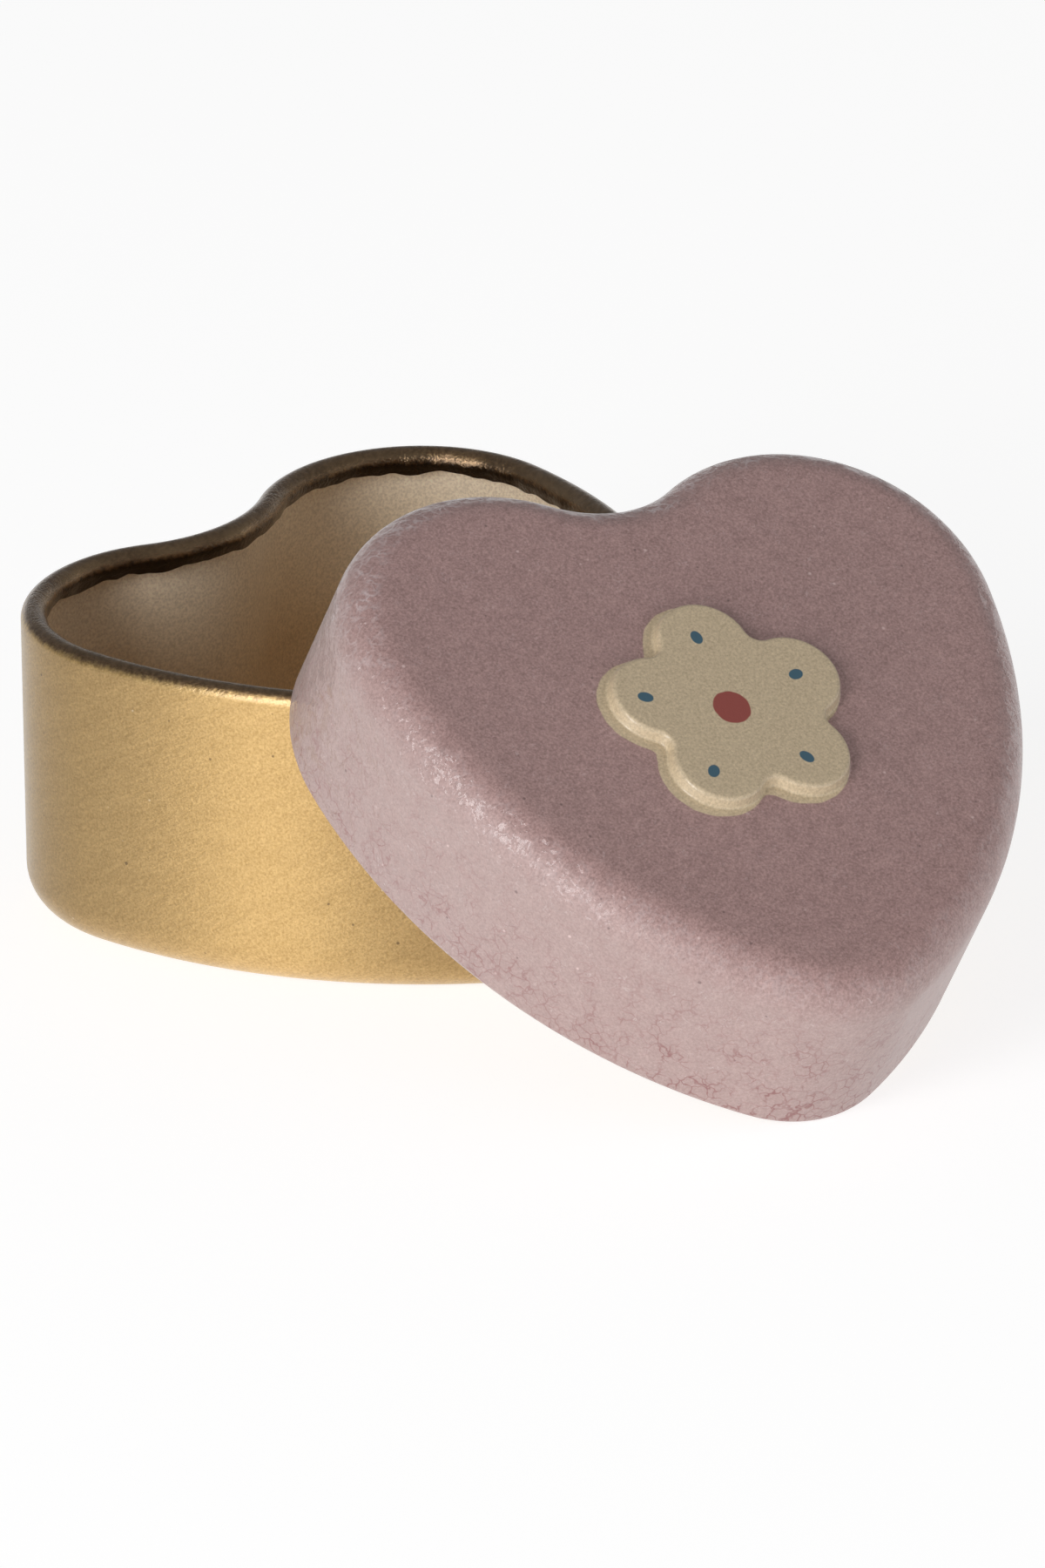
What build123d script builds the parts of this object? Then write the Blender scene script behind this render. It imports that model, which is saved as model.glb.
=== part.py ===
from build123d import *

import math
import os

# Heart outline of the base's side wall, seen from above with its tip towards -Y
lobe_radius = 12.3
lobe_spacing = 24.6
tip_drop = 26.4
tip_radius = 8.1
side_radius = 41.7
notch_radius = 12.1

# Sheet metal of both pressings
sheet_thickness = 0.28
curl_turn_degrees = 280

# Base: an upright cup with its rim curled inwards
base_height = 24.0
base_corner_radius = 3.5
base_curl_diameter = 1.95

# Lid: a shallower cup, upside down, that slips over the base
lid_height = 15.2
lid_edge_radius = 3.5
lid_curl_diameter = 1.6
slip_clearance = 0.4

# Blossom embossed in the lid's top
petals = 5
blossom_reach = 9.6
petal_radius = 3.7
petal_gap_radius = 1.1
blossom_rise = 0.9
blossom_edge_radius = 0.7
blossom_forward = 3.4

# The lid as it leans on the open base: its skirt's edge lies on the rim at two places and on the table
lid_rest_x = -3.0
lid_rest_y = -29.2
lid_turn_degrees = -18.9
rest_gap = 0.06

settling_rounds = 12
samples_per_arc = 60


class Bend:
    """One arc of an outline. A hollow bend curves the other way, with its centre outside the outline."""

    def __init__(self, centre, radius, start, sweep, hollow=False):
        self.centre = centre
        self.radius = radius
        self.start = start
        self.sweep = sweep
        self.hollow = hollow

    def widened(self, margin):
        """The radius once the outline is moved outwards by margin."""
        return self.radius - margin if self.hollow else self.radius + margin

    def edge(self, margin=0.0):
        """The arc itself, moved outwards by margin."""
        return CenterArc(self.centre, self.widened(margin), self.start, self.sweep)

    def swept(self, profile, margin):
        """A profile of (outward, up) carried along the arc, as the solid that it sweeps."""
        ray = Vector(1, 0, 0).rotate(Axis.Z, self.start)
        outward = -ray if self.hollow else ray
        start_point = self.centre + ray * self.widened(margin)
        section = Plane(origin=start_point, x_dir=outward, z_dir=outward.cross(Vector(0, 0, 1)))
        return revolve(section * profile, Axis(self.centre, (0, 0, 1)), self.sweep)


def heart_bends():
    """The base wall's outline, symmetric about X = 0: tip, sides, lobes and notch, all tangent."""
    lobe = Vector(lobe_spacing / 2, tip_drop / 2, 0)
    tip = Vector(0, -tip_drop / 2, 0)
    along = (tip - lobe).normalized()
    across = Vector(along.Y, -along.X, 0)
    span = (tip - lobe).length
    from_lobe = side_radius - lobe_radius
    from_tip = side_radius - tip_radius
    forward = (from_lobe**2 - from_tip**2 + span**2) / (2 * span)
    aside = math.sqrt(from_lobe**2 - forward**2)
    side = lobe + along * forward + across * aside
    notch_rise = math.sqrt((lobe_radius + notch_radius) ** 2 - lobe.X**2)
    notch = Vector(0, lobe.Y + notch_rise, 0)
    tip_angle = math.degrees(math.atan2(tip.Y - side.Y, tip.X - side.X))
    side_angle = math.degrees(math.atan2(lobe.Y - side.Y, lobe.X - side.X))
    lobe_angle = math.degrees(math.atan2(notch.Y - lobe.Y, notch.X - lobe.X))
    side_sweep = side_angle - tip_angle
    lobe_sweep = lobe_angle - side_angle
    left_side = Vector(-side.X, side.Y, 0)
    left_lobe = Vector(-lobe.X, lobe.Y, 0)
    return {
        "tip": Bend(tip, tip_radius, -180 - tip_angle, 180 + 2 * tip_angle),
        "right_side": Bend(side, side_radius, tip_angle, side_sweep),
        "right_lobe": Bend(lobe, lobe_radius, side_angle, lobe_sweep),
        "notch": Bend(notch, notch_radius, -lobe_angle, 2 * lobe_angle - 180, hollow=True),
        "left_lobe": Bend(left_lobe, lobe_radius, 180 - lobe_angle, lobe_sweep),
        "left_side": Bend(left_side, side_radius, 180 - side_angle, side_sweep),
    }


def blossom_bends():
    """Round petals about the blossom's centre, joined by small hollow arcs."""
    step = 360 / petals
    petal_distance = blossom_reach - petal_radius
    half_gap = petal_distance * math.sin(math.radians(step / 2))
    reach = petal_radius + petal_gap_radius
    gap_distance = petal_distance * math.cos(math.radians(step / 2)) + math.sqrt(reach**2 - half_gap**2)
    gap_turn = math.degrees(math.asin(half_gap / reach))
    petal_turn = gap_turn + step / 2
    bends = []
    for number in range(petals):
        petal_angle = 90 + number * step
        gap_angle = petal_angle + step / 2
        petal = Vector(petal_distance, 0, 0).rotate(Axis.Z, petal_angle)
        gap = Vector(gap_distance, 0, 0).rotate(Axis.Z, gap_angle)
        bends.append(Bend(petal, petal_radius, petal_angle - petal_turn, 2 * petal_turn))
        bends.append(Bend(gap, petal_gap_radius, gap_angle + 180 - gap_turn, 2 * gap_turn, hollow=True))
    return bends


def filled(bends, margin):
    """The flat face inside an outline that is moved outwards by margin."""
    return make_face([bend.edge(margin) for bend in bends])


def wall_profile(height, corner_radius, curl_diameter):
    """Section of a pressed cup's wall, outer face at zero: bottom corner, wall, and rim curled inwards."""
    curl_radius = curl_diameter / 2
    corner = (-corner_radius, corner_radius)
    curl = (-curl_radius, height - curl_radius)
    outer_corner = CenterArc(corner, corner_radius, -90, 90)
    inner_corner = CenterArc(corner, corner_radius - sheet_thickness, -90, 90)
    outer_curl = CenterArc(curl, curl_radius, 0, curl_turn_degrees)
    inner_curl = CenterArc(curl, curl_radius - sheet_thickness, 0, curl_turn_degrees)
    joins = [
        Line(outer_corner @ 1, outer_curl @ 0),
        Line(outer_curl @ 1, inner_curl @ 1),
        Line(inner_curl @ 0, inner_corner @ 1),
        Line(inner_corner @ 0, outer_corner @ 0),
    ]
    return make_face([outer_corner, outer_curl, inner_curl, inner_corner] + joins)


def pressed_cup(margin, height, corner_radius, curl_diameter):
    """One heart-shaped pressing, mouth up, its wall's outer face a margin outside the base's outline."""
    bends = heart_bends().values()
    profile = wall_profile(height, corner_radius, curl_diameter)
    floor = extrude(filled(bends, margin - corner_radius), sheet_thickness)
    return floor + [bend.swept(profile, margin) for bend in bends]


def embossed_blossom():
    """The sheet pushed up in the shape of a blossom: what it adds on top, and what it opens below."""
    overrun = sheet_thickness
    top = blossom_rise + sheet_thickness
    raised = extrude(filled(blossom_bends(), 0.0), top)
    raised = fillet(raised.faces().sort_by(Axis.Z)[-1].edges(), blossom_edge_radius)
    hollow = extrude(filled(blossom_bends(), -sheet_thickness), blossom_rise + overrun)
    hollow = fillet(hollow.faces().sort_by(Axis.Z)[-1].edges(), blossom_edge_radius - sheet_thickness)
    return raised, Pos(0, 0, -overrun) * hollow


def lid_margin():
    """How far the lid's outline lies outside the base's: its own curl and the slip clearance."""
    return lid_curl_diameter + slip_clearance


def level_lid():
    """The lid upright, the edge of its skirt at Z = 0."""
    cup = pressed_cup(lid_margin(), lid_height, lid_edge_radius, lid_curl_diameter)
    turned = Pos(0, 0, lid_height) * Rot(0, 180, 0) * cup
    raised, hollow = embossed_blossom()
    motif_place = Pos(0, blossom_forward, lid_height - sheet_thickness)
    return turned + motif_place * raised - motif_place * hollow


def curl_lines(margin, curl_diameter, height):
    """The centre line of a curled edge, as one arc for each bend of the outline."""
    inward = curl_diameter / 2
    return {name: Pos(0, 0, height) * bend.edge(margin - inward) for name, bend in heart_bends().items()}


def lid_place(slope, height):
    """The lid's place: turned about Z, then tipped until its top faces (slope X, slope Y, 1)."""
    facing = Vector(slope.X, slope.Y, 1)
    tip_axis = Axis((0, 0, 0), (-slope.Y, slope.X, 0))
    tip_degrees = math.degrees(math.atan(slope.length))
    side = Vector(1, 0, 0).rotate(Axis.Z, lid_turn_degrees).rotate(tip_axis, tip_degrees)
    return Plane(origin=(lid_rest_x, lid_rest_y, height), x_dir=side, z_dir=facing).location


def rise_to_rim(edge, rim):
    """Where the lid's edge crosses the rim, and how far it must rise to lie on it, as (x, y, rise)."""
    touching = (base_curl_diameter + lid_curl_diameter) / 2 + rest_gap
    gap, on_lid, on_rim = edge.distance_to_with_closest_points(rim)
    above = on_lid.Z - on_rim.Z
    signed_gap = math.copysign(gap, above)
    return Vector(on_lid.X, on_lid.Y, (touching - signed_gap) * signed_gap / above)


def rise_to_table(edges):
    """Where the lid's edge is lowest, and how far it must rise to stand on the table, as (x, y, rise)."""
    steps = [step / samples_per_arc for step in range(samples_per_arc + 1)]
    lowest = min((edge @ step for edge in edges for step in steps), key=lambda point: point.Z)
    return Vector(lowest.X, lowest.Y, lid_curl_diameter / 2 - lowest.Z)


def leaning_place():
    """Tips and lowers the lid until its curled edge meets the rim under both lobes, and the table."""
    rim = Wire(curl_lines(0.0, base_curl_diameter, base_height - base_curl_diameter / 2).values())
    level_edges = curl_lines(lid_margin(), lid_curl_diameter, lid_curl_diameter / 2)
    slope = Vector(0, -base_height / (tip_drop + lobe_radius), 0)
    height = base_height / 2
    for _ in range(settling_rounds):
        place = lid_place(slope, height)
        edges = {name: edge.moved(place) for name, edge in level_edges.items()}
        left = rise_to_rim(edges["left_lobe"], rim)
        right = rise_to_rim(edges["right_lobe"], rim)
        foot = rise_to_table(edges.values())
        normal = (right - left).cross(foot - left)
        tilt = Vector(-normal.X / normal.Z, -normal.Y / normal.Z, 0)
        height += left.Z + tilt.X * (lid_rest_x - left.X) + tilt.Y * (lid_rest_y - left.Y)
        slope = slope - tilt
    print("the lid leans by", round(math.degrees(math.atan(slope.length)), 3), "degrees")
    print("its edge plane passes through height", round(height, 3), "mm above its place")
    return lid_place(slope, height)


base = pressed_cup(0.0, base_height, base_corner_radius, base_curl_diameter)
lid = leaning_place() * level_lid()

os.makedirs("parts", exist_ok=True)
export_step(base, "parts/base.step")
export_step(lid, "parts/lid.step")
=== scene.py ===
import math

import bmesh
import bpy
from mathutils import Matrix, Vector, noise


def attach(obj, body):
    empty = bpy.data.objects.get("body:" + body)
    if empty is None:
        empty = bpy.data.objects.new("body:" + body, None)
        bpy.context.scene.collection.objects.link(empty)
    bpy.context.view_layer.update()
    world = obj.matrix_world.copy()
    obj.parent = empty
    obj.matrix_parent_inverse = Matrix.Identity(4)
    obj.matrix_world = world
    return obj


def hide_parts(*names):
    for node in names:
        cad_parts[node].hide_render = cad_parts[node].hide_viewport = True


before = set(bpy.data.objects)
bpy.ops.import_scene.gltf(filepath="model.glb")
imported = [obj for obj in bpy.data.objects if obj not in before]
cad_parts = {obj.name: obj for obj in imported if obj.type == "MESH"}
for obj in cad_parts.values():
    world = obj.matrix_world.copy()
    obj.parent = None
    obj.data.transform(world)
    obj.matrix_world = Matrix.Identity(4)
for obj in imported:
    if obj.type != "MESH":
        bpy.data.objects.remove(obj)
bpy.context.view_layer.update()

# Base: a deep cup drawn from one blank of tinplate, its outline a heart of arcs that run smoothly on. The
# wall stands on a rounded bottom corner, and the rim is curled inwards over an edge that was trimmed
# unevenly. Gold satin lacquer covers the outside and the curl, and a paler one the inside.
mm = 0.001
up = Vector((0, 0, 1))
sheet_thickness = 0.28 * mm
merge_distance = sheet_thickness / 20
lobe_radius = 12.3 * mm
lobe_spacing = 24.6 * mm
tip_drop = 26.4 * mm
tip_radius = 8.1 * mm
side_radius = 41.7 * mm
notch_radius = 12.1 * mm
base_height = 24.0 * mm
base_corner_radius = 3.5 * mm
base_curl_radius = 0.975 * mm
base_curl_turn = math.radians(200)
base_tail = 0.6 * mm
base_tail_swing = 0.7 * mm
rim_dents = 0.16 * mm
rim_wave_length = 3.6 * mm
ring_spacing = 0.5 * mm
row_spacing = 1.5 * mm
flat_insets = 3
bottom_inset = 1.5 * mm
outer_slot = 0
inner_slot = 1
edge_slot = 2


def heart_arcs():
    """The base's outline, counter-clockwise from the left end of the tip: centre, radius, start and turn."""
    lobe = Vector((lobe_spacing / 2, tip_drop / 2, 0))
    tip = Vector((0, -tip_drop / 2, 0))
    span = (tip - lobe).length
    along = (tip - lobe).normalized()
    across = Vector((along.y, -along.x, 0))
    from_lobe = side_radius - lobe_radius
    from_tip = side_radius - tip_radius
    forward = (from_lobe**2 - from_tip**2 + span**2) / (2 * span)
    side = lobe + along * forward + across * math.sqrt(from_lobe**2 - forward**2)
    notch = Vector((0, lobe.y + math.sqrt((lobe_radius + notch_radius) ** 2 - lobe.x**2), 0))
    tip_angle = math.atan2(tip.y - side.y, tip.x - side.x)
    side_angle = math.atan2(lobe.y - side.y, lobe.x - side.x)
    lobe_angle = math.atan2(notch.y - lobe.y, notch.x - lobe.x)
    mirrored = Vector((-1, 1, 1))
    return [
        (tip, tip_radius, -math.pi - tip_angle, math.pi + 2 * tip_angle),
        (side, side_radius, tip_angle, side_angle - tip_angle),
        (lobe, lobe_radius, side_angle, lobe_angle - side_angle),
        (notch, notch_radius, lobe_angle - math.pi, math.pi - 2 * lobe_angle),
        (lobe * mirrored, lobe_radius, math.pi - lobe_angle, lobe_angle - side_angle),
        (side * mirrored, side_radius, math.pi - side_angle, side_angle - tip_angle),
    ]


heart = heart_arcs()
heart_length = sum(abs(turn) * radius for _, radius, _, turn in heart)


def on_heart(point):
    """How far along the outline a point lies, and which way is outwards there."""
    found = []
    passed = 0
    for centre, radius, start, turn in heart:
        spoke = Vector((point.x - centre.x, point.y - centre.y, 0))
        way = math.copysign(1, turn)
        swing = (way * (math.atan2(spoke.y, spoke.x) - start)) % math.tau
        beyond = min(swing - abs(turn), math.tau - swing) if swing > abs(turn) else 0
        if beyond:
            swing = abs(turn) if swing - abs(turn) < math.tau - swing else 0
        miss = abs(spoke.length - radius) + beyond * radius
        found.append((miss, passed + swing * radius, spoke.normalized() * way))
        passed += abs(turn) * radius
    _, along, outward = min(found, key=lambda spot: spot[0])
    return along, outward


def verts_in(geometry):
    return [item for item in geometry if isinstance(item, bmesh.types.BMVert)]


def draw_up(bm, last, heading, length, rows):
    """Draws a chain of edges on from a vertex, straight along heading, and returns its end."""
    for _ in range(rows):
        last = bmesh.ops.extrude_vert_indiv(bm, verts=[last])["verts"][0]
        last.co += heading * (length / rows)
    return last


def bend_up(bm, last, centre, hinge, turn, steps):
    """Draws a chain of edges on from a vertex, round centre, and returns its end."""
    turned = bmesh.ops.spin(bm, geom=[last], cent=centre, axis=hinge, angle=turn, steps=steps)
    return verts_in(turned["geom_last"])[0]


def cup_section(bm, margin, height, corner_radius, curl_radius, curl_turn, tail):
    """A cup's section where the outline starts.

    Its layer "curled" goes from 0 to 1 round the curl, and from 1 to 2 along the curl's tail.
    """
    corner_steps = 14
    curl_rows = 20
    tail_rows = 5
    centre, radius, start, _ = heart[0]
    outward = Vector((math.cos(start), math.sin(start), 0))
    foot = centre + outward * (radius + margin)
    hinge = outward.cross(up)
    wall = height - corner_radius - curl_radius
    curled = bm.verts.layers.float.new("curled")
    last = bm.verts.new(foot - outward * corner_radius)
    last = bend_up(bm, last, foot + (up - outward) * corner_radius, hinge, math.pi / 2, corner_steps)
    last = draw_up(bm, last, up, wall, round(wall / row_spacing))
    curl_centre = foot - outward * curl_radius + up * (height - curl_radius)
    for row in range(curl_rows):
        last = bend_up(bm, last, curl_centre, hinge, curl_turn / curl_rows, 1)
        last[curled] = (row + 1) / curl_rows
    heading = Matrix.Rotation(curl_turn, 3, hinge) @ up
    for row in range(tail_rows):
        last = draw_up(bm, last, heading, tail / tail_rows, 1)
        last[curled] = 1 + (row + 1) / tail_rows
    return bm.verts[:] + bm.edges[:]


def carry_round(bm, section, arcs, spacing):
    """Carries a section along arcs that run smoothly into each other, with rings about spacing apart."""
    fewest_steps = 6
    first = verts_in(section)
    for centre, radius, _, turn in arcs:
        steps = max(fewest_steps, round(abs(turn) * radius / spacing))
        swept = bmesh.ops.spin(bm, geom=section, cent=centre, axis=up, angle=turn, steps=steps)
        section = swept["geom_last"]
    bmesh.ops.remove_doubles(bm, verts=first + verts_in(section), dist=merge_distance)


def roughen_edge(bm, curl_turn, swing):
    """Dents the curl's inner side and makes its tail wavy, as a hand-fed tool leaves them."""
    halfway = 0.5
    dents_grow_over = 0.3
    shortest_wave = -0.5
    curled = bm.verts.layers.float["curled"]
    for vert in bm.verts:
        if vert[curled] > halfway:
            outward = on_heart(vert.co)[1]
            heading = up * math.cos(curl_turn) - outward * math.sin(curl_turn)
            spot = vert.co * Vector((1, 1, 0)) / rim_wave_length
            wave = max(shortest_wave, 0.6 * noise.noise(spot) + 0.5 * noise.noise(spot * 2.9))
            dent = noise.noise(spot * 2.1 + up * 5)
            inner = min(1, (vert[curled] - halfway) / dents_grow_over)
            longer = max(0, vert[curled] - 1) * swing * wave
            vert.co += outward * (dent * rim_dents * inner) + heading * longer


def open_loop(bm, height):
    """The edges of an open ring at a height."""
    return [edge for edge in bm.edges
            if edge.is_boundary and all(abs(vert.co.z - height) < merge_distance for vert in edge.verts)]


def close_flat(bm, height, spacing):
    """Closes an open ring with a flat face, inset a few times so that the surface by the ring shades flat."""
    face = bmesh.ops.edgeloop_fill(bm, edges=open_loop(bm, height))["faces"][0]
    for _ in range(flat_insets):
        bmesh.ops.inset_region(bm, faces=[face], thickness=spacing, depth=0, use_even_offset=True)
    return face


def thicken(bm):
    """Gives the sheet its thickness inwards, with its own materials inside and on the raw edge."""
    sharp_angle = math.radians(40)
    bmesh.ops.recalc_face_normals(bm, faces=bm.faces)
    outer = set(bm.faces)
    inner = {item for item in bmesh.ops.solidify(bm, geom=bm.faces[:], thickness=sheet_thickness)["geom"]
             if isinstance(item, bmesh.types.BMFace)}
    for face in bm.faces:
        face.smooth = True
        if face in inner:
            face.material_index = inner_slot
        elif face not in outer:
            face.material_index = edge_slot
    for edge in bm.edges:
        edge.smooth = edge.is_manifold and edge.calc_face_angle(0) < sharp_angle


def wrap_map(bm):
    """A UV map in millimetres, along the outline and up the wall, without a seam where the outline closes."""
    layer = bm.loops.layers.uv.new("wrap")
    reached = {vert: on_heart(vert.co)[0] for vert in bm.verts}
    for face in bm.faces:
        first = reached[face.loops[0].vert]
        for loop in face.loops:
            along = reached[loop.vert]
            along += heart_length * round((first - along) / heart_length)
            loop[layer].uv = (along / mm, loop.vert.co.z / mm)


def map_straight(faces, layer):
    """Maps faces as they lie, seen along the height, in millimetres."""
    for face in faces:
        for loop in face.loops:
            loop[layer].uv = (loop.vert.co.x / mm, loop.vert.co.y / mm)


def outer_bottom(bm):
    """The outside's flat bottom, where the wall's map would fan out."""
    outer = [face for face in bm.faces if face.material_index == outer_slot]
    return [face for face in outer if all(vert.co.z < sheet_thickness / 2 for vert in face.verts)]


def finished(bm, name, materials):
    """The bmesh as an object of its own, at the origin."""
    mesh = bpy.data.meshes.new(name)
    bm.to_mesh(mesh)
    bm.free()
    for material in materials:
        mesh.materials.append(material)
    made = bpy.data.objects.new(name, mesh)
    bpy.context.scene.collection.objects.link(made)
    return made


def set_inputs(tree, node, inputs):
    """Sets a node's inputs, given as values or as other nodes' outputs."""
    for name, value in inputs.items():
        if isinstance(value, bpy.types.NodeSocket):
            tree.links.new(value, node.inputs[name])
        else:
            node.inputs[name].default_value = value


def add_node(tree, kind, inputs=(), **settings):
    """A shader node with its settings and its inputs."""
    made = tree.nodes.new("ShaderNode" + kind)
    for name, value in settings.items():
        setattr(made, name, value)
    set_inputs(tree, made, dict(inputs))
    return made


def new_material(name):
    """An empty material and its tree, with the principled shader wired to the output."""
    material = bpy.data.materials.new(name)
    material.use_nodes = True
    tree = material.node_tree
    tree.nodes.clear()
    shader = add_node(tree, "BsdfPrincipled")
    add_node(tree, "OutputMaterial", {"Surface": shader.outputs[0]})
    return material, tree, shader


def object_place(tree):
    return add_node(tree, "TexCoord").outputs["Object"]


def map_place(tree, name):
    """A point's place in one of the piece's own maps, in millimetres."""
    return add_node(tree, "UVMap", uv_map=name).outputs[0]


def parts_of(tree, vector):
    """A vector's X, Y and Z."""
    return add_node(tree, "SeparateXYZ", {0: vector}).outputs


def noise_of(tree, place, scale, detail, roughness, **more):
    """Noise from 0 to 1 about the middle, with features about 1 / scale across."""
    inputs = {"Vector": place, "Scale": scale, "Detail": detail, "Roughness": roughness, **more}
    return add_node(tree, "TexNoise", inputs).outputs["Fac"]


def ramp_of(tree, value, low, high, start=0.0, end=1.0):
    """A value taken from low..high to start..end, clamped."""
    return add_node(tree, "MapRange", {0: value, 1: low, 2: high, 3: start, 4: end}).outputs[0]


def swing_of(tree, value, low, reach):
    """A noise's middle stretch, from low to as far from 1, taken to -reach..reach."""
    return ramp_of(tree, value, low, 1 - low, -reach, reach)


def math_of(tree, operation, first, second=0.0, third=0.0):
    return add_node(tree, "Math", {0: first, 1: second, 2: third}, operation=operation).outputs[0]


def sum_of(tree, first, *others):
    for other in others:
        first = math_of(tree, "ADD", first, other)
    return first


def product_of(tree, first, *others):
    for other in others:
        first = math_of(tree, "MULTIPLY", first, other)
    return first


def colour_between(tree, share, first, second, blend_type="MIX"):
    """The first colour turned into the second by share."""
    mixed = add_node(tree, "Mix", {0: share, 6: first, 7: second}, data_type="RGBA", blend_type=blend_type)
    return mixed.outputs[2]


def relief_of(tree, height, depth, under=None):
    """A bump of a height map from 0 to 1, depth deep, over another relief."""
    inputs = {"Height": height, "Strength": 1.0, "Distance": depth}
    if under:
        inputs["Normal"] = under
    return add_node(tree, "Bump", inputs).outputs[0]


def specks_of(tree, place, scale, channel, size):
    """Small round specks in half of the cells, 1 / scale apart, of a radius up to size times that."""
    softness = 0.03
    strength = 0.7
    cells = add_node(tree, "TexVoronoi", {"Vector": place, "Scale": scale})
    chance = parts_of(tree, cells.outputs["Color"])[channel]
    radius = ramp_of(tree, chance, 0.5, 1.0, -size, size)
    past_edge = math_of(tree, "SUBTRACT", cells.outputs["Distance"], radius)
    return ramp_of(tree, past_edge, -softness, softness, strength, 0)


def gold_lacquer():
    """Satin gold: metal under a clear coat, with a fine slanting grain.

    Over the top of the curl it is painted dark brown, a painted reflection of the dim room; lower on the curl
    a lighter gold in places is a painted highlight; towards its tail it goes near black, painted shade under
    the curl.
    """
    deep_gold = (0.475, 0.305, 0.11, 1)
    bright_gold = (0.71, 0.493, 0.214, 1)
    dark_speck = (0.17, 0.10, 0.04, 1)
    pale_speck = (0.85, 0.70, 0.48, 1)
    painted_reflection_deep = (0.115, 0.064, 0.028, 1)
    painted_reflection_light = (0.205, 0.125, 0.065, 1)
    painted_highlight_gold = (0.42, 0.28, 0.145, 1)
    painted_shade_brown = (0.03, 0.017, 0.008, 1)
    grain_slant = math.radians(27)
    grain_stretch = 0.25
    curl_roughness = 0.27
    material, tree, shader = new_material("gold_lacquer")
    place = object_place(tree)

    slanting = {
        "Vector": map_place(tree, "wrap"),
        "Rotation": (0, 0, grain_slant),
        "Scale": (1.0, grain_stretch, 1),
    }
    slant = add_node(tree, "Mapping", slanting, vector_type="TEXTURE").outputs[0]
    strokes = noise_of(tree, slant, 0.8, 3.0, 0.65)
    grain = noise_of(tree, place, 5.2 / mm, 2.0, 0.6)
    bands = noise_of(tree, slant, 0.2, 2.0, 0.5)
    shade = sum_of(tree, swing_of(tree, strokes, 0.3, 0.42), swing_of(tree, grain, 0.3, 0.8),
                   swing_of(tree, bands, 0.35, 0.15))
    colour = colour_between(tree, ramp_of(tree, shade, -1, 1), deep_gold, bright_gold)
    colour = colour_between(tree, specks_of(tree, place, 1.0 / mm, "X", 0.14), colour, dark_speck)
    colour = colour_between(tree, specks_of(tree, place, 0.8 / mm, "Y", 0.09), colour, pale_speck)

    curled = add_node(tree, "Attribute", attribute_name="curled").outputs["Fac"]
    ragged = noise_of(tree, place, 2.2 / mm, 3.0, 0.7)
    uneven = math_of(tree, "MULTIPLY_ADD", ragged, 0.3, math_of(tree, "SUBTRACT", curled, 0.15))
    mottled = noise_of(tree, place, 2.6 / mm, 3.0, 0.7)
    # The top of the curl is painted dark brown: a painted reflection of the dim room above it.
    painted_dark_reflection = colour_between(tree, ramp_of(tree, mottled, 0.4, 0.6), painted_reflection_deep, painted_reflection_light)
    colour = colour_between(tree, ramp_of(tree, uneven, 0.10, 0.24, 0, 0.95), colour, painted_dark_reflection)
    # Lower on the curl, in places and most on the left, a lighter gold is a painted highlight of the lamps.
    in_places = ramp_of(tree, noise_of(tree, place, 0.17 / mm, 2.0, 0.5), 0.42, 0.6, 0.1, 0.7)
    more_on_left = ramp_of(tree, parts_of(tree, place)["X"], 1 * mm, 7 * mm, 1.1, 0.35)
    painted_highlight = product_of(tree, in_places, ramp_of(tree, uneven, 0.5, 0.7), more_on_left)
    colour = colour_between(tree, painted_highlight, colour, painted_highlight_gold)
    # Under the curl and along its tail the colour goes near black: painted shade.
    colour = colour_between(tree, ramp_of(tree, uneven, 0.80, 0.92), colour, painted_shade_brown)

    wiped = ramp_of(tree, strokes, 0.3, 0.7, 0.59, 0.69)
    on_curl = ramp_of(tree, curled, 0.0, 0.3)
    roughness = add_node(tree, "Mix", {0: on_curl, 2: wiped, 3: curl_roughness}).outputs[0]
    relief = relief_of(tree, strokes, 0.03 * mm)
    relief = relief_of(tree, grain, 0.014 * mm, relief)
    relief = relief_of(tree, product_of(tree, mottled, ramp_of(tree, curled, 0.2, 0.4)), 0.07 * mm, relief)
    set_inputs(tree, shader, {
        "Base Color": colour,
        "Metallic": 0.95,
        "Roughness": roughness,
        "Anisotropic": 0.8,
        "Anisotropic Rotation": 0.25,
        "Tangent": add_node(tree, "Tangent", direction_type="UV_MAP", uv_map="wrap").outputs[0],
        "Normal": relief,
        "Coat Weight": 0.7,
        "Coat Roughness": 0.22,
        "Coat Normal": relief,
    })
    return material


def inner_lacquer():
    """Pale gold inside the tin, finely speckled, with painted shade that makes it darker and browner low down
    the wall.
    """
    painted_shade_gold = (0.71, 0.52, 0.315, 1)
    high_gold = (0.99, 0.85, 0.65, 1)
    dark_dust = (0.82, 0.81, 0.80, 1)
    pale_dust = (1.10, 1.10, 1.10, 1)
    material, tree, shader = new_material("inner_lacquer")
    place = object_place(tree)
    speckle = noise_of(tree, place, 4.6 / mm, 2.0, 0.6)
    clouds = noise_of(tree, place, 0.16 / mm, 2.0, 0.5)
    up_wall = parts_of(tree, map_place(tree, "wrap"))["Y"]
    # Lower on the wall the colour turns to a darker, browner gold: painted shade.
    high = sum_of(tree, swing_of(tree, clouds, 0.35, 0.05), ramp_of(tree, up_wall, 10, 21))
    dusty = colour_between(tree, ramp_of(tree, speckle, 0.35, 0.65), dark_dust, pale_dust)
    painted_shade_by_depth = colour_between(tree, high, painted_shade_gold, high_gold)
    set_inputs(tree, shader, {
        "Base Color": colour_between(tree, 1.0, painted_shade_by_depth, dusty, "MULTIPLY"),
        "Metallic": 0.15,
        "Roughness": 0.40,
        "Normal": relief_of(tree, speckle, 0.006 * mm),
    })
    return material


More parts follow.
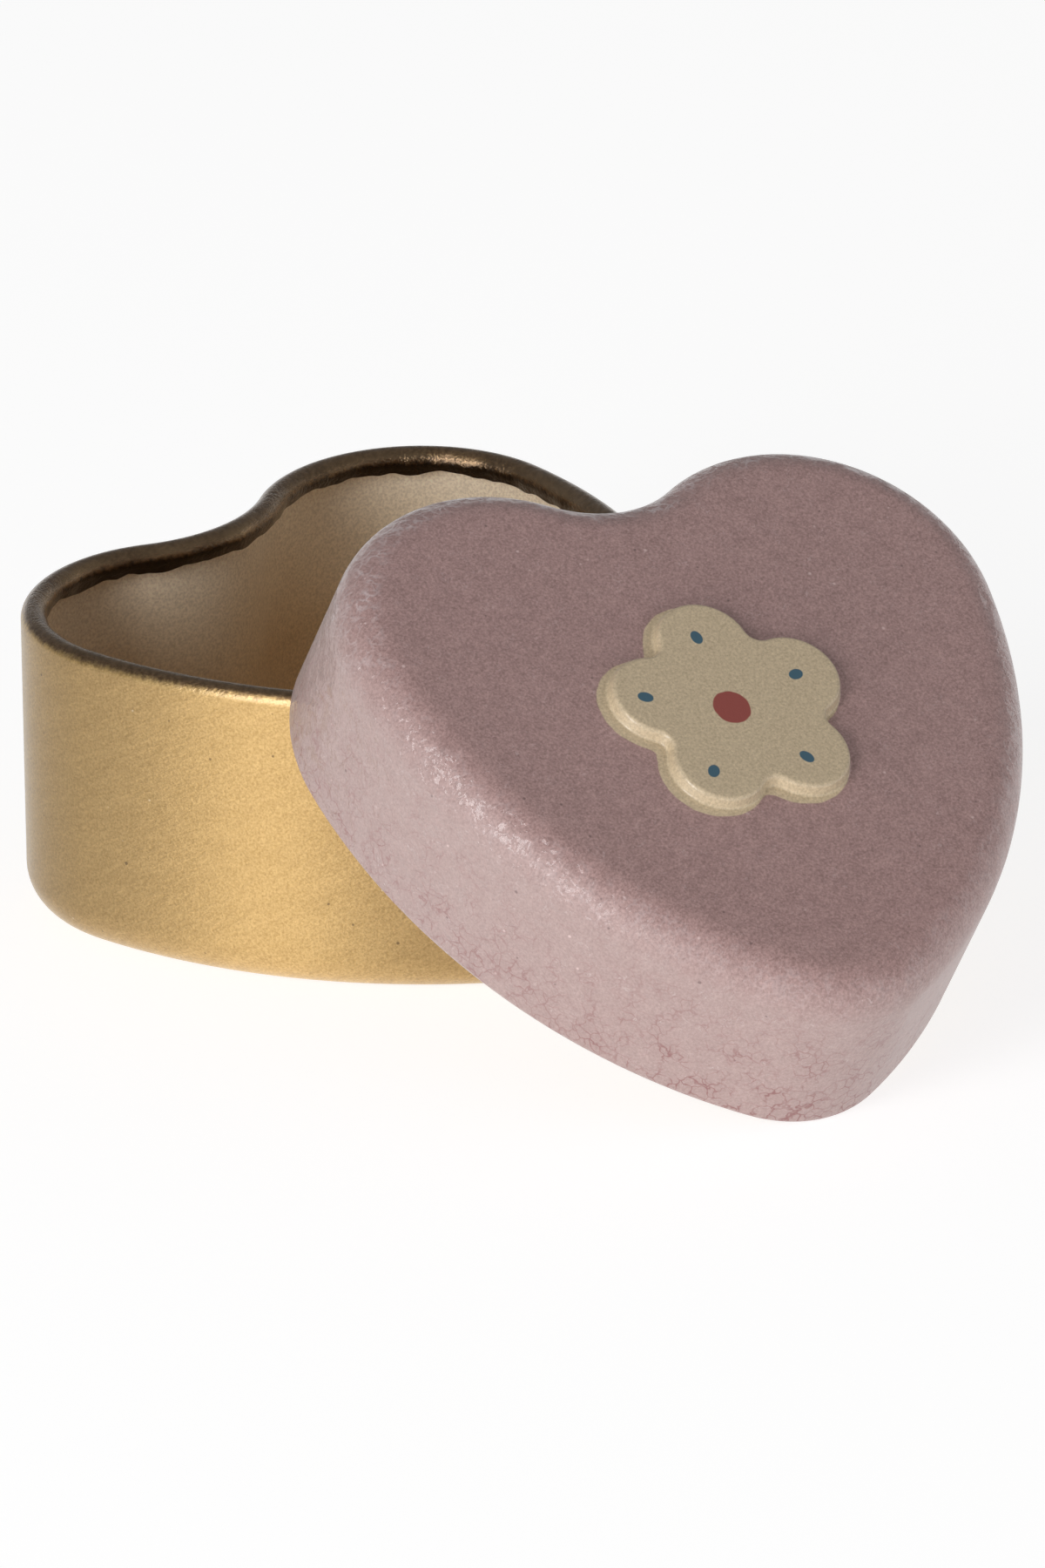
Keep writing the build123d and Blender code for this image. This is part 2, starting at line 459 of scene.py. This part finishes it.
def bare_edge():
    """The sheet's trimmed edge: dull tin that has darkened."""
    dark_tin = (0.12, 0.085, 0.05, 1)
    dull_tin = (0.42, 0.33, 0.24, 1)
    material, tree, shader = new_material("bare_edge")
    stains = noise_of(tree, object_place(tree), 1.5 / mm, 3.0, 0.6)
    set_inputs(tree, shader, {
        "Base Color": colour_between(tree, stains, dark_tin, dull_tin),
        "Metallic": 0.8,
        "Roughness": 0.55,
    })
    return material


gold = gold_lacquer()
pale_gold = inner_lacquer()
raw_tin = bare_edge()

bm = bmesh.new()
section = cup_section(bm, 0, base_height, base_corner_radius, base_curl_radius, base_curl_turn, base_tail)
carry_round(bm, section, heart, ring_spacing)
close_flat(bm, 0, bottom_inset)
roughen_edge(bm, base_curl_turn, base_tail_swing)
thicken(bm)
wrap_map(bm)
map_straight(outer_bottom(bm), bm.loops.layers.uv["wrap"])
base_shell = finished(bm, "base_shell", [gold, pale_gold, raw_tin])
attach(base_shell, "base")
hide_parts("base")

# Lid: a shallower pressing of the same sheet, upside down, with a wide rounded edge and a straight skirt
# that is curled inwards at its foot. A five-petalled blossom is embossed in its top and printed cream, a
# little out of register. Mauve lacquer covers the outside, crackled on the edge and the skirt.
lid_height = 15.2 * mm
lid_corner_radius = 3.5 * mm
lid_curl_radius = 0.8 * mm
lid_curl_turn = math.radians(215)
lid_tail = 0.3 * mm
lid_margin = 2.0 * mm
lid_inset = 1.0 * mm
lid_place_x = -3.0 * mm
lid_place_y = -29.2 * mm
lid_turn = math.radians(-18.9)
petals = 5
blossom_reach = 9.6 * mm
petal_radius = 3.7 * mm
petal_gap_radius = 1.1 * mm
blossom_rise = 0.9 * mm
blossom_forward = 3.4 * mm
blossom_ring_spacing = 0.25 * mm
blossom_inset = 0.4 * mm
relief_foot = 0.25 * mm
relief_foot_radius = 0.2 * mm
relief_shoulder_radius = 0.35 * mm
relief_slope = math.radians(72)
print_slip_left = 0.55 * mm
print_slip_back = 0.25 * mm
print_margin = 0.48 * mm
print_softness = 0.08 * mm
print_wobble = 0.12 * mm
dot_beyond_petal = 0.7 * mm
dot_half_length = 0.62 * mm
dot_half_width = 0.46 * mm
middle_dot_radius = 1.5 * mm


def widened(arcs, margin):
    """The same arcs with the outline moved outwards by margin."""
    return [(centre, radius + math.copysign(margin, turn), start, turn)
            for centre, radius, start, turn in arcs]


petal_distance = blossom_reach - petal_radius
half_step = math.pi / petals
half_gap = petal_distance * math.sin(half_step)
gap_reach = petal_radius + petal_gap_radius
gap_distance = petal_distance * math.cos(half_step) + math.sqrt(gap_reach**2 - half_gap**2)
gap_turn = math.asin(half_gap / gap_reach)
petal_turn = gap_turn + half_step


def blossom_arcs(middle):
    """The blossom's outline, counter-clockwise: round petals joined by small hollow arcs."""
    arcs = []
    for number in range(petals):
        petal_angle = math.pi / 2 + 2 * number * half_step
        gap_angle = petal_angle + half_step
        petal = middle + Matrix.Rotation(petal_angle, 3, "Z") @ Vector((petal_distance, 0, 0))
        gap = middle + Matrix.Rotation(gap_angle, 3, "Z") @ Vector((gap_distance, 0, 0))
        arcs.append((petal, petal_radius, petal_angle - petal_turn, 2 * petal_turn))
        arcs.append((gap, petal_gap_radius, gap_angle + math.pi + gap_turn, -2 * gap_turn))
    return arcs


def emboss_section(bm, arcs):
    """The relief's section where its outline starts: a hollow foot, a slope, and a rounded shoulder."""
    foot_steps = 6
    slope_rows = 2
    shoulder_steps = 10
    before = set(bm.verts)
    centre, radius, start, _ = arcs[0]
    outward = Vector((math.cos(start), math.sin(start), 0))
    hinge = outward.cross(up)
    leaning = Matrix.Rotation(-relief_slope, 3, hinge)
    bends = (relief_foot_radius + relief_shoulder_radius) * (1 - math.cos(relief_slope))
    slope_length = (blossom_rise - bends) / math.sin(relief_slope)
    last = bm.verts.new(centre + outward * (radius + relief_foot))
    last = bend_up(bm, last, last.co + up * relief_foot_radius, hinge, -relief_slope, foot_steps)
    last = draw_up(bm, last, leaning @ -outward, slope_length, slope_rows)
    pivot = last.co - leaning @ up * relief_shoulder_radius
    bend_up(bm, last, pivot, hinge, relief_slope, shoulder_steps)
    chain = [vert for vert in bm.verts if vert not in before]
    return chain + list(dict.fromkeys(edge for vert in chain for edge in vert.link_edges))


def lid_rest():
    """The lid's place at rest: turned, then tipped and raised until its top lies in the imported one's."""
    areas = {}
    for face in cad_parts["lid"].data.polygons:
        if face.normal.z > 0:
            key = tuple(round(part, 3) for part in face.normal)
            areas.setdefault(key, []).append(face)
    top = max(areas.values(), key=lambda faces: sum(face.area for face in faces))
    widest = max(top, key=lambda face: face.area)
    facing = widest.normal.copy()
    level = facing.dot(widest.center) - lid_height
    height = (level - facing.x * lid_place_x - facing.y * lid_place_y) / facing.z
    tipped = up.rotation_difference(facing).to_matrix() @ Matrix.Rotation(lid_turn, 3, "Z")
    return Matrix.Translation((lid_place_x, lid_place_y, height)) @ tipped.to_4x4()


def vector_of(tree, operation, *vectors):
    """What an operation on vectors gives: outputs "Vector" and "Value"."""
    return add_node(tree, "VectorMath", dict(enumerate(vectors)), operation=operation).outputs


def mottled_mauve(tree, place, fine, up_wall):
    """Fibrous mottling with a few pale threads and specks; on the skirt it is calmer and greyer, a painted
    sheen for the lamp's soft reflection there.
    """
    deep_mauve = (0.29, 0.168, 0.156, 1)
    light_mauve = (0.575, 0.362, 0.342, 1)
    painted_sheen_tint = (0.97, 1.10, 1.09, 1)
    pale_thread = (0.72, 0.55, 0.55, 1)
    dark_speck = (0.15, 0.085, 0.08, 1)
    pale_speck = (0.80, 0.60, 0.58, 1)
    patches = noise_of(tree, place, 0.8 / mm, 2.0, 0.5)
    fibres = noise_of(tree, place, 1.7 / mm, 3.0, 0.6, Distortion=2.0)
    shade = sum_of(tree, swing_of(tree, fine, 0.3, 1.0), swing_of(tree, patches, 0.35, 0.14),
                   swing_of(tree, fibres, 0.3, 0.36))
    # On the skirt the mottling is calmed and the colour tinted greyer: a painted sheen.
    flat = ramp_of(tree, up_wall, 12, 15)
    shade = product_of(tree, shade, ramp_of(tree, flat, 0, 1, 0.45, 1))
    colour = colour_between(tree, ramp_of(tree, shade, -1, 1), deep_mauve, light_mauve)

    winding = noise_of(tree, place, 1.5 / mm, 1.0, 0.5, Distortion=1.0)
    off_thread = math_of(tree, "ABSOLUTE", math_of(tree, "SUBTRACT", winding, 0.5))
    in_places = ramp_of(tree, noise_of(tree, place, 0.7 / mm, 2.0, 0.5), 0.5, 0.62, 0, 0.45)
    threads = product_of(tree, ramp_of(tree, off_thread, 0.0, 0.014, 1, 0), in_places)
    colour = colour_between(tree, threads, colour, pale_thread)
    painted_sheen_colour = colour_between(tree, 1.0, colour, painted_sheen_tint, "MULTIPLY")
    colour = colour_between(tree, flat, painted_sheen_colour, colour)
    colour = colour_between(tree, specks_of(tree, place, 0.9 / mm, "X", 0.12), colour, dark_speck)
    return colour_between(tree, specks_of(tree, place, 0.7 / mm, "Y", 0.10), colour, pale_speck)


def cracks_of(tree, place, scale, core, reach):
    """The lines between cells about 1 / scale across: 1 up to core from the line, and 0 beyond reach."""
    cells = add_node(tree, "TexVoronoi", {"Vector": place, "Scale": scale}, feature="DISTANCE_TO_EDGE")
    return ramp_of(tree, cells.outputs["Distance"], core, reach, 1, 0)


def crackle_colour(tree, place, bent, up_wall, forward, drawn, colour):
    """Wine-coloured veins low on the skirt, most by the tip, and painted glints on the crackle's lips round
    the lobes' edge.
    """
    wine = (0.27, 0.11, 0.105, 1)
    painted_glint_lip = (0.85, 0.76, 0.78, 1)
    low = product_of(tree, ramp_of(tree, up_wall, 2, 13, 1, 0.15), drawn)
    bloom = ramp_of(tree, noise_of(tree, place, 0.42 / mm, 3.0, 0.6), 0.40, 0.62)
    near_tip = ramp_of(tree, forward, -12, -21, 0.75, 1.25)
    veins = product_of(tree, cracks_of(tree, bent, 0.88 / mm, 0.0, 0.07), bloom, near_tip)
    stain = math_of(tree, "MULTIPLY_ADD", bloom, 0.12, veins)
    colour = colour_between(tree, product_of(tree, stain, low), colour, wine)
    # The pale lips on the lobes' edge are painted glints, where the crackle catches the light at the edge.
    in_places = ramp_of(tree, noise_of(tree, place, 0.65 / mm, 3.0, 0.6), 0.42, 0.60)
    on_lobes = ramp_of(tree, forward, 10, 18, 0.12, 0.42)
    above_skirt = ramp_of(tree, up_wall, 11, 14.4)
    below_top = ramp_of(tree, up_wall, 14.9, 15.15, 1, 0)
    painted_glint_mask = product_of(tree, in_places, on_lobes, above_skirt, below_top)
    painted_glint_lips = product_of(tree, cracks_of(tree, bent, 1.15 / mm, 0.02, 0.16), painted_glint_mask)
    return colour_between(tree, painted_glint_lips, colour, painted_glint_lip)


def crackle_relief(tree, place, bent, drawn):
    """The coat's crackle: small domes, raised lips, and plates that each lean their own way and glint."""
    middle_grey = (0.5, 0.5, 0.5)
    in_places = ramp_of(tree, noise_of(tree, place, 0.19 / mm, 2.0, 0.6), 0.42, 0.6, 0.5, 1.0)
    strength = product_of(tree, in_places, drawn)
    pebbles = add_node(tree, "TexVoronoi", {"Vector": bent, "Scale": 0.54 / mm}).outputs["Distance"]
    domes = product_of(tree, math_of(tree, "POWER", pebbles, 1.6), strength)
    lips = product_of(tree, cracks_of(tree, bent, 0.62 / mm, 0.02, 0.12), drawn)
    plates = add_node(tree, "TexVoronoi", {"Vector": bent, "Scale": 0.9 / mm}).outputs
    from_middle = vector_of(tree, "SUBTRACT", bent, plates["Position"])["Vector"]
    lean = vector_of(tree, "SUBTRACT", plates["Color"], middle_grey)["Vector"]
    height = vector_of(tree, "DOT_PRODUCT", from_middle, lean)["Value"]
    tilt = product_of(tree, math_of(tree, "DIVIDE", height, mm), strength)
    relief = relief_of(tree, domes, -0.2 * mm)
    relief = relief_of(tree, lips, 0.05 * mm, relief)
    return relief_of(tree, tilt, 0.35 * mm, relief)


def squares_of(tree, first, second):
    """The sum of two values' squares."""
    return sum_of(tree, math_of(tree, "POWER", first, 2.0), math_of(tree, "POWER", second, 2.0))


def blossom_print(tree, place, printed, fine, colour):
    """The print over the relief: cream petals, a blue dot on each, and a red one in the middle."""
    deep_cream = (0.50, 0.385, 0.24, 1)
    light_cream = (0.80, 0.645, 0.43, 1)
    dot_blue = (0.035, 0.115, 0.17, 1)
    dot_red = (0.33, 0.055, 0.04, 1)
    shift = (print_slip_left / mm, (print_slip_back - blossom_forward) / mm, 0)
    from_middle = add_node(tree, "Mapping", {"Vector": printed, "Location": shift}).outputs[0]
    unsteady = noise_of(tree, place, 0.9 / mm, 2.0, 0.5)
    wobble = ramp_of(tree, unsteady, 0, 1, -print_wobble / mm, print_wobble / mm)
    reach = vector_of(tree, "LENGTH", from_middle)["Value"]
    parts = parts_of(tree, from_middle)
    folded = math_of(tree, "PINGPONG", math_of(tree, "ARCTAN2", parts["X"], parts["Y"]), half_step)
    ahead = math_of(tree, "MULTIPLY_ADD", reach, math_of(tree, "COSINE", folded), -petal_distance / mm)
    aside = product_of(tree, reach, math_of(tree, "SINE", folded))

    from_petal = math_of(tree, "POWER", squares_of(tree, ahead, aside), 0.5)
    outside_petal = math_of(tree, "SUBTRACT", from_petal, petal_radius / mm)
    outside_middle = math_of(tree, "SUBTRACT", reach, (gap_distance - petal_gap_radius) / mm)
    outside = sum_of(tree, math_of(tree, "SMOOTH_MIN", outside_petal, outside_middle, 0.8), wobble)
    inked = ramp_of(tree, outside, (print_margin - print_softness) / mm, print_margin / mm, 1, 0)
    cream = colour_between(tree, ramp_of(tree, fine, 0.3, 0.7), deep_cream, light_cream)
    colour = colour_between(tree, inked, colour, cream)

    along_dot = math_of(tree, "SUBTRACT", ahead, dot_beyond_petal / mm)
    along_dot = math_of(tree, "DIVIDE", along_dot, dot_half_length / mm)
    across_dot = math_of(tree, "DIVIDE", aside, dot_half_width / mm)
    dot_away = sum_of(tree, squares_of(tree, along_dot, across_dot), wobble)
    colour = colour_between(tree, ramp_of(tree, dot_away, 0.85, 1.05, 1, 0), colour, dot_blue)
    middle_edge = middle_dot_radius - print_softness
    middle = ramp_of(tree, sum_of(tree, reach, wobble), middle_edge / mm, middle_dot_radius / mm, 1, 0)
    return colour_between(tree, middle, colour, dot_red)


def mauve_lacquer():
    """Mauve lacquer under a clear coat that crackled where the sheet was drawn, and the print."""
    crackle_bend = (1.4 * mm,) * 3
    material, tree, shader = new_material("mauve_lacquer")
    place = object_place(tree)
    printed = map_place(tree, "print")
    forward = parts_of(tree, printed)["Y"]
    up_wall = parts_of(tree, map_place(tree, "wrap"))["Y"]
    drawn = ramp_of(tree, up_wall, 14.7, 15.15, 1, 0)
    fine = noise_of(tree, place, 4.8 / mm, 3.0, 0.75)
    bend = add_node(tree, "TexNoise", {"Vector": place, "Scale": 0.9 / mm, "Detail": 2.0}).outputs["Color"]
    bent = vector_of(tree, "MULTIPLY_ADD", bend, crackle_bend, place)["Vector"]
    colour = mottled_mauve(tree, place, fine, up_wall)
    colour = crackle_colour(tree, place, bent, up_wall, forward, drawn, colour)
    set_inputs(tree, shader, {
        "Base Color": blossom_print(tree, place, printed, fine, colour),
        "Roughness": 0.56,
        "Specular IOR Level": 0.9,
        "Normal": relief_of(tree, fine, 0.02 * mm),
        "Sheen Weight": 0.2,
        "Sheen Roughness": 0.3,
        "Coat Weight": ramp_of(tree, forward, -14, -4, 0.2, 0.55),
        "Coat Roughness": 0.11,
        "Coat Normal": crackle_relief(tree, place, bent, drawn),
    })
    return material


mauve = mauve_lacquer()

bm = bmesh.new()
section = cup_section(bm, lid_margin, lid_height, lid_corner_radius, lid_curl_radius, lid_curl_turn, lid_tail)
carry_round(bm, section, widened(heart, lid_margin), ring_spacing)
roughen_edge(bm, lid_curl_turn, lid_tail)
bmesh.ops.rotate(bm, verts=bm.verts, cent=(0, 0, 0), matrix=Matrix.Rotation(math.pi, 3, "Y"))
bmesh.ops.translate(bm, verts=bm.verts, vec=up * lid_height)
face = close_flat(bm, lid_height, lid_inset)
bmesh.ops.delete(bm, geom=[face], context="FACES_ONLY")
blossom = blossom_arcs(Vector((0, blossom_forward, lid_height)))
carry_round(bm, emboss_section(bm, blossom), blossom, blossom_ring_spacing)
bmesh.ops.triangle_fill(bm, use_beauty=True, edges=open_loop(bm, lid_height))
close_flat(bm, lid_height + blossom_rise, blossom_inset)
thicken(bm)
wrap_map(bm)
map_straight(bm.faces, bm.loops.layers.uv.new("print"))
bmesh.ops.transform(bm, matrix=lid_rest(), verts=bm.verts)
lid_shell = finished(bm, "lid_shell", [mauve, pale_gold, raw_tin])
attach(lid_shell, "lid")
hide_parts("lid")

# Floor: a plain pale table that is lit from below as well, as for cut-out pictures, so that it shows as white
# with only a faint shadow on it. From below it lets the view through.
floor_half = 8.0
floor_drop = 0.05 * mm
floor_grey = (0.40, 0.40, 0.40, 1)
floor_glow = 0.80
white = (1, 1, 1, 1)


def floor_paint():
    """Pale and glowing from above, clear from below."""
    material = bpy.data.materials.new("floor_paint")
    material.use_nodes = True
    tree = material.node_tree
    tree.nodes.clear()
    lit = add_node(tree, "BsdfDiffuse", {"Color": floor_grey})
    glow = add_node(tree, "Emission", {"Color": white, "Strength": floor_glow})
    table = add_node(tree, "AddShader", {0: lit.outputs[0], 1: glow.outputs[0]})
    clear = add_node(tree, "BsdfTransparent")
    below = add_node(tree, "NewGeometry").outputs["Backfacing"]
    painted = add_node(tree, "MixShader", {0: below, 1: table.outputs[0], 2: clear.outputs[0]})
    add_node(tree, "OutputMaterial", {"Surface": painted.outputs[0]})
    return material


bm = bmesh.new()
bmesh.ops.create_grid(bm, x_segments=2, y_segments=2, size=floor_half)
bmesh.ops.translate(bm, verts=bm.verts, vec=-up * floor_drop)
floor = finished(bm, "floor", [floor_paint()])

# Light: one tall softbox on the left that stands on the table, and a small white card on the right, in a dim
# room with a white skirting that is brighter on the right.
dim_room = 0.25
shaded_skirting = 0.4
white_skirting = 1.5
skirting_fades_from = 0.05
skirting_fades_to = 0.14
lamp_distance = 1.0
lamp_foot = 0.02
softbox_azimuth = math.radians(-100)
softbox_width = 0.38
softbox_height = 0.74
softbox_watts = 6.9
card_azimuth = math.radians(175)
card_width = 0.5
card_height = 0.45
card_watts = 0.45


def facing_from(azimuth, elevation):
    """The direction out from the tin, clockwise from +Y and above the table."""
    return Matrix.Rotation(-azimuth, 3, "Z") @ Matrix.Rotation(elevation, 3, "X") @ Vector((0, 1, 0))


world = bpy.data.worlds.new("studio")
bpy.context.scene.world = world
world.use_nodes = True
tree = world.node_tree
tree.nodes.clear()
direction = parts_of(tree, add_node(tree, "TexCoord").outputs["Generated"])
rightwards = math_of(tree, "SUBTRACT", direction["X"], direction["Y"])
skirting = ramp_of(tree, rightwards, -1.0, 1.0, shaded_skirting, white_skirting)
fade = {0: direction["Z"], 1: skirting_fades_from, 2: skirting_fades_to, 3: skirting, 4: dim_room}
brightness = add_node(tree, "MapRange", fade, interpolation_type="SMOOTHSTEP").outputs[0]
background = add_node(tree, "Background", {"Strength": brightness, "Color": white})
add_node(tree, "OutputWorld", {"Surface": background.outputs[0]})


def stand_lamp(name, azimuth, width, height, watts):
    """A rectangular lamp that stands upright on the table and faces the tin."""
    lamp = bpy.data.objects.new(name, bpy.data.lights.new(name, "AREA"))
    bpy.context.scene.collection.objects.link(lamp)
    lamp.data.shape = "RECTANGLE"
    lamp.data.size = width
    lamp.data.size_y = height
    lamp.data.energy = watts
    lamp.location = facing_from(azimuth, 0) * lamp_distance + up * (height / 2 + lamp_foot)
    lamp.rotation_euler = facing_from(azimuth, 0).to_track_quat("Z", "Y").to_euler()
    lamp.visible_camera = False


stand_lamp("softbox", softbox_azimuth, softbox_width, softbox_height, softbox_watts)
stand_lamp("white_card", card_azimuth, card_width, card_height, card_watts)

# Camera: a long lens, a little above the tin and to the left of its tip. It is rolled by less than a degree,
# because the picture isn't quite level.
camera_distance = 1500 * mm
camera_azimuth = math.radians(45.971)
camera_elevation = math.radians(24.018)
camera_roll = math.radians(-0.764)
camera_aim = Vector((19.33, 9.36, 0)) * mm
camera = bpy.data.objects.new("camera", bpy.data.cameras.new("camera"))
bpy.context.scene.collection.objects.link(camera)
bpy.context.scene.camera = camera
camera.data.sensor_width = 36
camera.data.lens = 456
camera.data.clip_start = 0.1
camera.data.clip_end = 100
back = facing_from(camera_azimuth - math.pi, camera_elevation)
upright = back.to_track_quat("Z", "Y").to_matrix()
camera.location = camera_aim + back * camera_distance
camera.rotation_euler = (upright @ Matrix.Rotation(camera_roll, 3, "Z")).to_euler()

bpy.context.scene.view_settings.view_transform = "Standard"
